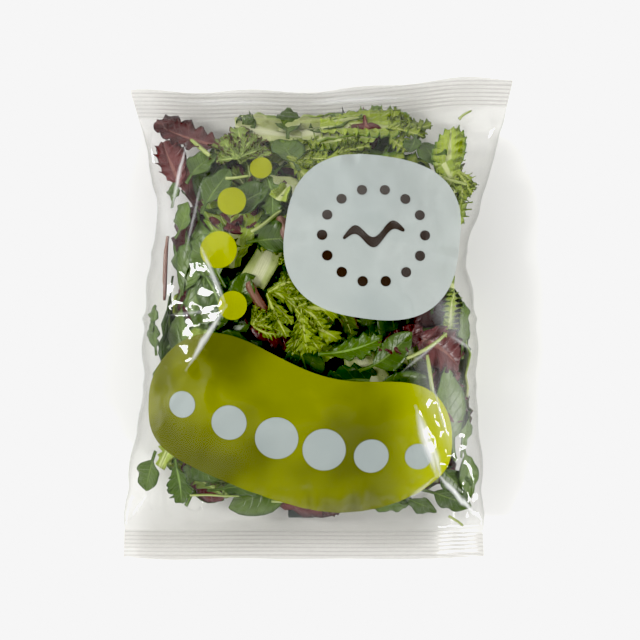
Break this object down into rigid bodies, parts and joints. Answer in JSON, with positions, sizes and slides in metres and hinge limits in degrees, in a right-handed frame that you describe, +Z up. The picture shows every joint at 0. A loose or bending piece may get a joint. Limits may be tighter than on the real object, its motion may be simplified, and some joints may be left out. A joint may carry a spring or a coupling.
{
  "type": "bag of salad leaves",
  "caption": "Clear film pillow bag of mixed salad leaves, crimp-sealed at both ends, with plain lime and pale printed fields, lying on its back.",
  "frame": {"origin": "middle of the bag's box on the surface it lies on", "axes": "+X to the right of the printed front, +Y from the bottom seal to the top seal, +Z up out of the printed front"},
  "size_m": [0.2078, 0.2568, 0.0671],
  "materials": {
    "film": "clear glossy packaging film with soft creases and crimped seals",
    "lime_print": "opaque lime green ink under the gloss of the film",
    "pale_print": "opaque pale blue-white ink under the gloss of the film",
    "dark_print": "dark brown ink under the gloss of the film",
    "green_leaf": "fresh green leaf, slightly waxy, with paler veins",
    "pale_leaf": "pale yellow-green lettuce with light ribs",
    "red_leaf": "burgundy lettuce, waxy, green towards the rib"
  },
  "bodies": {
    "root": {"salad_bag": "film"}
  },
  "joints": []
}
